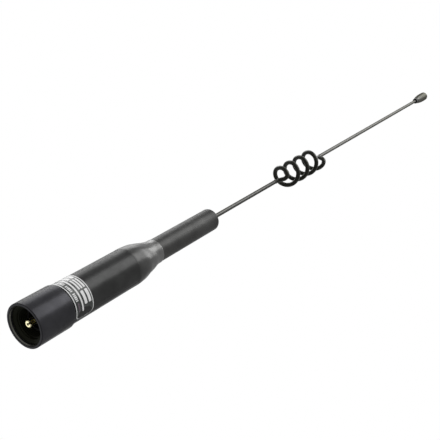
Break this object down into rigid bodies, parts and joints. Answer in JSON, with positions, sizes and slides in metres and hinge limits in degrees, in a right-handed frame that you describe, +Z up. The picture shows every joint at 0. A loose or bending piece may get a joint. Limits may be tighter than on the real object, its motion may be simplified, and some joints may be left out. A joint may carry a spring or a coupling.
{
  "type": "dual band mobile antenna",
  "caption": "Mobile whip antenna on a coaxial plug: spinning coupling sleeve, matching housing, tapered boot, neck and a wire whip bent into a phasing coil, with a bead at its tip.",
  "frame": {"origin": "centre of the coupling sleeve's mouth, in the plane of its rim", "axes": "+Z runs up the whip from the plug; +X and +Y lie across the axis; the label faces -X and -Y"},
  "size_m": [0.023, 0.023, 0.497],
  "materials": {
    "sleeve_black": "satin black coating",
    "ring_black": "black plated, machined",
    "plug_dark_nickel": "dark nickel plated, turned",
    "insulator_dark": "dark moulded resin",
    "pin_gold": "gold plated",
    "washer_steel": "plain steel",
    "adapter_brass": "turned brass",
    "seal_rubber": "soft black rubber",
    "housing_black": "matte black moulding",
    "label_print": "dark printed film",
    "former_white": "natural moulded plastic",
    "coil_copper": "bare copper wire",
    "lead_tinned": "tinned wire",
    "capacitor_ceramic": "dipped ceramic",
    "core_plastic": "black moulded plastic",
    "boot_black": "shrunk film, slightly glossy",
    "neck_black": "matte black",
    "ferrule_brass": "turned brass",
    "whip_steel": "drawn stainless steel",
    "coating_black": "black plastic coating",
    "collar_black": "black",
    "bead_steel": "turned steel"
  },
  "bodies": {
    "antenna": {"plug_body": "plug_dark_nickel", "pin_insulator": "insulator_dark", "center_pin": "pin_gold", "thrust_washer": "washer_steel", "base_adapter": "adapter_brass", "housing_seal": "seal_rubber", "housing_tube": "housing_black", "label_band": "label_print", "coil_former": "former_white", "matching_coil": "coil_copper", "feed_wire": "lead_tinned", "tuning_capacitor": "capacitor_ceramic", "output_wire": "lead_tinned", "shoulder_core": "core_plastic", "shrink_boot": "boot_black", "neck_tube": "neck_black", "whip_ferrule": "ferrule_brass", "whip_wire": "whip_steel", "coil_coating": "coating_black", "tip_collar": "collar_black", "tip_bead": "bead_steel"},
    "coupling": {"coupling_sleeve": "sleeve_black", "coupling_thread_ring": "ring_black"}
  },
  "joints": [
    {"name": "coupling_spin", "type": "hinge", "parent": "antenna", "child": "coupling", "pos_m": [0, 0, 0.02], "axis": [0, 0, 1], "continuous": true}
  ]
}
